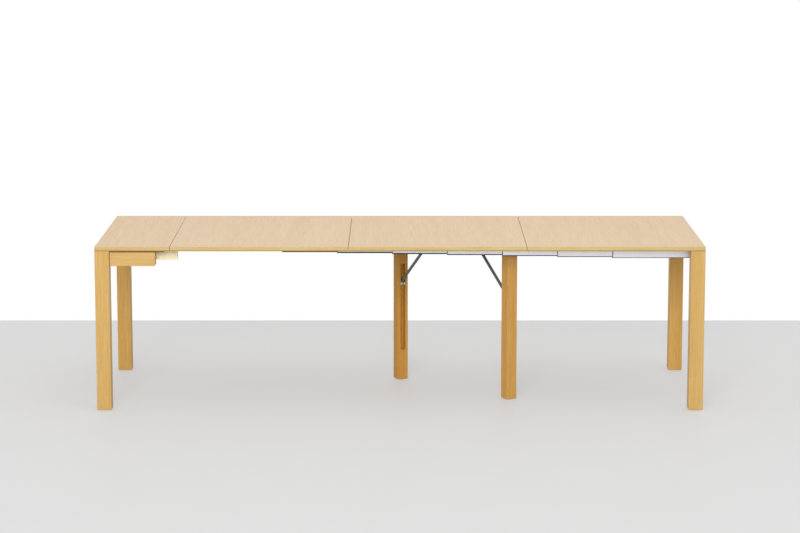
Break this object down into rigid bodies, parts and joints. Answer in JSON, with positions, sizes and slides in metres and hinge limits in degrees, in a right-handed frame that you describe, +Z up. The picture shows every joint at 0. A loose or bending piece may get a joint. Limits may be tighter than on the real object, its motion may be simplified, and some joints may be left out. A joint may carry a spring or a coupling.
{
  "type": "extendable console table",
  "caption": "Oak table drawn out on nested aluminium channels between two end frames, with loose leaves on top and folding diagonal support legs held by steel stays.",
  "frame": {"origin": "on the floor, under the middle of the drawn-out table", "axes": "+X along the table towards the frame that draws out, +Z up, the pictured side faces -Y"},
  "size_m": [2.738, 0.9, 0.75],
  "materials": {
    "oak_top": "satin veneer",
    "oak_frame": "satin",
    "pale_wood": "matte",
    "aluminium": "satin anodised",
    "dark_steel": "satin",
    "zinc_steel": "satin",
    "glide_plastic": "matte"
  },
  "bodies": {
    "left_frame": {"console_top": "oak_top", "left_front_leg": "oak_frame", "left_rear_leg": "oak_frame", "left_end_rail": "oak_frame", "left_front_apron": "oak_frame", "left_rear_apron": "oak_frame", "left_front_cleat": "pale_wood", "left_rear_cleat": "pale_wood", "left_front_spacer": "glide_plastic", "left_rear_spacer": "glide_plastic", "left_front_glide": "glide_plastic", "left_rear_glide": "glide_plastic", "front_inner_bar": "aluminium", "rear_inner_bar": "aluminium"},
    "stage_9": {"front_channel_9": "aluminium", "rear_channel_9": "aluminium"},
    "stage_8": {"front_channel_8": "aluminium", "rear_channel_8": "aluminium"},
    "stage_7": {"front_channel_7": "aluminium", "rear_channel_7": "aluminium"},
    "stage_6": {"front_channel_6": "aluminium", "rear_channel_6": "aluminium"},
    "stage_5": {"front_channel_5": "aluminium", "rear_channel_5": "aluminium", "rear_support_cross_bar": "dark_steel", "rear_support_bracket": "dark_steel", "rear_stay_catch": "zinc_steel", "rear_hinge_pin": "zinc_steel"},
    "stage_4": {"front_channel_4": "aluminium", "rear_channel_4": "aluminium"},
    "stage_3": {"front_channel_3": "aluminium", "rear_channel_3": "aluminium", "front_support_cross_bar": "dark_steel", "front_support_bracket": "dark_steel", "front_stay_catch": "zinc_steel", "front_hinge_pin": "zinc_steel"},
    "stage_2": {"front_channel_2": "aluminium", "rear_channel_2": "aluminium"},
    "right_frame": {"front_channel_1": "aluminium", "rear_channel_1": "aluminium", "right_front_rail_angle": "dark_steel", "right_rear_rail_angle": "dark_steel", "right_front_leg": "oak_frame", "right_rear_leg": "oak_frame", "right_end_rail": "oak_frame", "right_front_glide": "glide_plastic", "right_rear_glide": "glide_plastic"},
    "leaf_1_board": {"leaf_1": "oak_top"},
    "leaf_2_board": {"leaf_2": "oak_top"},
    "leaf_3_board": {"leaf_3": "oak_top"},
    "front_leg": {"front_support_leg": "oak_frame", "front_hinge_leaf": "dark_steel", "front_stay_clevis": "zinc_steel", "front_support_glide": "glide_plastic"},
    "front_stay_rod": {"front_stay": "dark_steel"},
    "rear_leg": {"rear_support_leg": "oak_frame", "rear_hinge_leaf": "dark_steel", "rear_stay_clevis": "zinc_steel", "rear_support_glide": "glide_plastic"},
    "rear_stay_rod": {"rear_stay": "dark_steel"}
  },
  "joints": [
    {"name": "stage_9_slide", "type": "slide", "parent": "left_frame", "child": "stage_9", "axis": [-1, 0, 0], "range_m": [0, 0.2492]},
    {"name": "stage_8_slide", "type": "slide", "parent": "stage_9", "child": "stage_8", "axis": [-1, 0, 0], "range_m": [0, 0.2492]},
    {"name": "stage_7_slide", "type": "slide", "parent": "stage_8", "child": "stage_7", "axis": [-1, 0, 0], "range_m": [0, 0.2492]},
    {"name": "stage_6_slide", "type": "slide", "parent": "stage_7", "child": "stage_6", "axis": [-1, 0, 0], "range_m": [0, 0.2492]},
    {"name": "stage_5_slide", "type": "slide", "parent": "stage_6", "child": "stage_5", "axis": [-1, 0, 0], "range_m": [0, 0.2492]},
    {"name": "stage_4_slide", "type": "slide", "parent": "stage_5", "child": "stage_4", "axis": [-1, 0, 0], "range_m": [0, 0.079]},
    {"name": "stage_3_slide", "type": "slide", "parent": "stage_4", "child": "stage_3", "axis": [-1, 0, 0], "range_m": [0, 0.079]},
    {"name": "stage_2_slide", "type": "slide", "parent": "stage_3", "child": "stage_2", "axis": [-1, 0, 0], "range_m": [0, 0.2322]},
    {"name": "extension", "type": "slide", "parent": "stage_2", "child": "right_frame", "axis": [-1, 0, 0], "range_m": [0, 0.2492]},
    {"name": "leaf_1_lift", "type": "slide", "parent": "left_frame", "child": "leaf_1_board", "axis": [0, 0, 1], "range_m": [0, 0.25]},
    {"name": "leaf_2_lift", "type": "slide", "parent": "left_frame", "child": "leaf_2_board", "axis": [0, 0, 1], "range_m": [0, 0.25]},
    {"name": "leaf_3_lift", "type": "slide", "parent": "left_frame", "child": "leaf_3_board", "axis": [0, 0, 1], "range_m": [0, 0.25]},
    {"name": "front_leg_fold", "type": "hinge", "parent": "stage_3", "child": "front_leg", "pos_m": [0.48574, -0.1836, 0.6816], "axis": [0.8572, 0.515, 0], "range_deg": [0, 90]},
    {"name": "front_stay_swing", "type": "hinge", "parent": "front_leg", "child": "front_stay_rod", "pos_m": [0.49439, -0.198, 0.477], "axis": [0.8572, 0.515, 0], "range_deg": [-127.74, 0]},
    {"name": "rear_leg_fold", "type": "hinge", "parent": "stage_5", "child": "rear_leg", "pos_m": [0.01622, 0.18209, 0.6816], "axis": [-0.9063, -0.4226, 0], "range_deg": [0, 90]},
    {"name": "rear_stay_swing", "type": "hinge", "parent": "rear_leg", "child": "rear_stay_rod", "pos_m": [0.00912, 0.19731, 0.477], "axis": [-0.9063, -0.4226, 0], "range_deg": [-127.74, 0]}
  ],
  "couplings": [
    {"joint": "stage_9_slide", "follows": "extension", "ratio": 1},
    {"joint": "stage_8_slide", "follows": "extension", "ratio": 1},
    {"joint": "stage_7_slide", "follows": "extension", "ratio": 1},
    {"joint": "stage_6_slide", "follows": "extension", "ratio": 1},
    {"joint": "stage_5_slide", "follows": "extension", "ratio": 1},
    {"joint": "stage_4_slide", "follows": "extension", "ratio": 0.31701},
    {"joint": "stage_3_slide", "follows": "extension", "ratio": 0.31701},
    {"joint": "stage_2_slide", "follows": "extension", "ratio": 0.93178},
    {"joint": "front_stay_swing", "follows": "front_leg_fold", "ratio": -1.4193},
    {"joint": "rear_stay_swing", "follows": "rear_leg_fold", "ratio": -1.4193}
  ]
}
